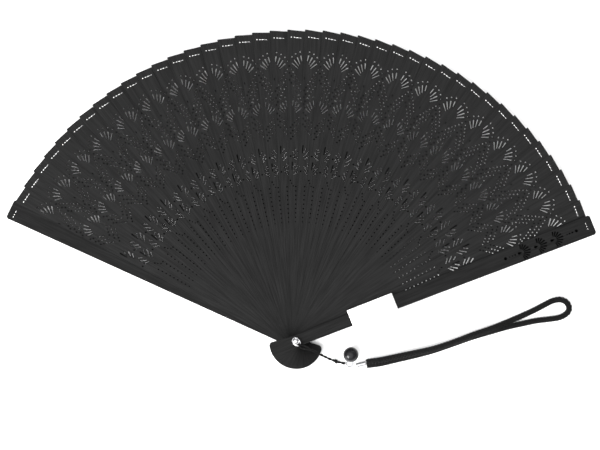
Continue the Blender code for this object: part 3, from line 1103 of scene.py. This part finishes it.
def cap_profile(length):
    """A narrow neck that widens to a sleeve with a raised rim at its mouth."""
    radius = CAP_RADIUS
    neck = CAP_NECK_RADIUS
    chamfer = CAP_CHAMFER
    inner = neck + CAP_SHOULDER_STEP
    profile = [(0.0, 0.0), (neck - chamfer, 0.0), (neck, chamfer), (neck, CAP_NECK_LENGTH)]
    for step in range(CAP_STEPS + 1):
        turn = math.pi / 2 * step / CAP_STEPS
        height = CAP_SHOULDER_TOP - CAP_SHOULDER_HEIGHT * math.cos(turn)
        profile.append((inner + (radius - inner) * math.sin(turn), height))
    rim = length - CAP_RIM_LENGTH
    sleeve = radius - CAP_RIM_STEP
    profile += [(sleeve, CAP_SLEEVE_START), (sleeve, rim), (radius, rim + chamfer)]
    profile += [(radius, length - chamfer), (radius - chamfer, length), (0.0, length)]
    return profile


def build_beads(bead_finish, metal):
    """The jump ring, the bead on its short pin, and the cap on the cord's ends."""
    ring = wire_ring("jump_ring_look", RING_RADIUS, RING_RADIUS, RING_WIRE_RADIUS, metal)
    ring.location = RING_CENTRE
    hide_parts("jump_ring")

    bead = add_object("bead_look", lathe("bead_look", bead_profile(), BEAD_SIDES), bead_finish)
    aim(bead, BEAD_CENTRE, BEAD_AXIS)
    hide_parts("bead")

    start, end = PIN_ENDS
    profile = [(0.0, start), (PIN_RADIUS, start), (PIN_RADIUS, end), (0.0, end)]
    pin = add_object("bead_pin_look", lathe("bead_pin_look", profile, PIN_SIDES), metal)
    aim(pin, BEAD_CENTRE, BEAD_AXIS)
    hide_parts("bead_pin")

    along = CAP_MOUTH - CAP_TIP
    cap = add_object("end_cap_look", lathe("end_cap_look", cap_profile(along.length)), metal)
    aim(cap, CAP_TIP, along)
    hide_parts("end_cap")

    for obj, finish_slot in ((ring, "chrome"), (bead, "bead"), (pin, "chrome"), (cap, "chrome")):
        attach(obj, ROOT)
    return [ring, bead, pin, cap]


def build_cord(finish):
    """The braid: eight yarns that weave round a soft core, four each way."""
    line = smooth_route(CORD_ROUTE, CORD_SPACING)
    data = ([], [])
    frames = [carried(line, index) for index in range(len(line))]
    sweep(data, line[::CORE_STRIDE] + [line[-1]], CORE_RADIUS, sides=10, flat=CORE_FLATNESS)
    for way in (-1, 1):
        for carrier in range(BRAID_CARRIERS):
            path = []
            for index, place in enumerate(line):
                turn = 2 * math.pi * (index * CORD_SPACING / BRAID_LAY + carrier / BRAID_CARRIERS)
                weave = 1.0 + BRAID_WEAVE * way * math.cos(turn * BRAID_CARRIERS)
                across, rise = frames[index]
                offset = across * (BRAID_HALF_WIDE * math.cos(way * turn))
                offset += rise * (BRAID_HALF_HIGH * math.sin(way * turn))
                path.append(place + offset * weave)
            sweep(data, path, YARN_RADIUS, sides=6)
    cord = add_object("strap_cord_look", mesh_from("strap_cord_look", data), finish)
    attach(cord, ROOT)
    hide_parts("strap_cord")
    return cord, line


def build_strap(string_finish, cord_finish, bead_finish, metal):
    string, string_line = build_string(string_finish)
    pieces = build_beads(bead_finish, metal)
    cord, cord_line = build_cord(cord_finish)


# ---------------------------------------------------------------- stage


def area_light(name, place, aim_at, size, power):
    data = bpy.data.lights.new(name, "AREA")
    data.shape = "RECTANGLE"
    data.size, data.size_y = size
    data.energy = power
    obj = add_object(name, data)
    aim(obj, place, place - aim_at)
    return obj


def build_stage():
    """A white floor, a key light at the front left, a weak fill behind and a soft surround."""
    mesh = bpy.data.meshes.new("floor")
    corners = [(FLOOR_REACH * x, FLOOR_REACH * y, 0.0) for x, y in FLOOR_CORNERS]
    mesh.from_pydata(corners, [], [(0, 1, 2, 3)])
    floor = add_object("floor", mesh, floor_white())
    floor.location.z = -FLOOR_GAP

    build_surround()
    key = area_light("key", KEY_PLACE, CAMERA_TARGET, KEY_SIZE, KEY_POWER)
    fill = area_light("fill", FILL_PLACE, CAMERA_TARGET, FILL_SIZE, FILL_POWER)


def build_surround():
    """Light from all round that is brightest overhead and a little to the front left."""
    world = bpy.data.worlds.new("surround")
    world.use_nodes = True
    tree = world.node_tree
    background = tree.nodes["Background"]
    background.inputs["Strength"].default_value = SURROUND_STRENGTH
    coordinates = tree.nodes.new("ShaderNodeTexCoord")
    facing = tree.nodes.new("ShaderNodeVectorMath")
    facing.operation = "DOT_PRODUCT"
    facing.inputs[1].default_value = SURROUND_CENTRE
    tree.links.new(coordinates.outputs["Generated"], facing.inputs[0])
    value = facing.outputs["Value"]
    shade = colour_between(tree, value, grey(SURROUND_DIM), grey(1.0), *SURROUND_SPREAD)
    tree.links.new(shade, background.inputs["Color"])
    bpy.context.scene.world = world


def set_tone():
    """Plain display contrast, so that the white surround reads as white."""
    view = bpy.context.scene.view_settings
    view.view_transform = "Standard"
    view.look = "None"
    view.exposure = 0.0


def build_camera():
    data = bpy.data.cameras.new("camera")
    data.lens = CAMERA_LENS
    data.sensor_width = CAMERA_SENSOR
    data.clip_start = 0.05
    camera = add_object("camera", data)
    flat = math.cos(CAMERA_ELEVATION)
    back = Vector(
        (math.sin(CAMERA_AZIMUTH) * flat, -math.cos(CAMERA_AZIMUTH) * flat, math.sin(CAMERA_ELEVATION))
    )
    camera.location = CAMERA_TARGET + back * CAMERA_DISTANCE
    camera.rotation_euler = back.to_track_quat("Z", "Y").to_euler()
    bpy.context.scene.camera = camera


def main():
    set_tone()
    build_camera()
    metal = chrome()
    stick_finish = dyed_wood("dyed_wood", grey(0.008), grey(0.0143), roughness=0.55)
    guard_finish = dyed_wood("dyed_guard", grey(0.006), grey(0.0115), roughness=0.5)
    # Painted shade: a near-black lining for the blind holes, standing in for the shadow seen down a
    # real hole.
    painted_shade_finish = dyed_wood("recess", grey(0.0002), grey(0.0008), roughness=0.9)
    string_finish = fibre("string", grey(0.001), grey(0.004), scale=3500.0, roughness=0.6)
    cord_finish = fibre("braid", grey(0.0005), grey(0.006), scale=2600.0, roughness=0.5)
    thread_finish = white_thread()
    build_sticks((stick_finish, painted_shade_finish), thread_finish)
    build_guards((guard_finish, painted_shade_finish), thread_finish)
    build_rivet(metal)
    build_label(paper())
    build_strap(string_finish, cord_finish, black_glass(), metal)
    build_stage()


main()
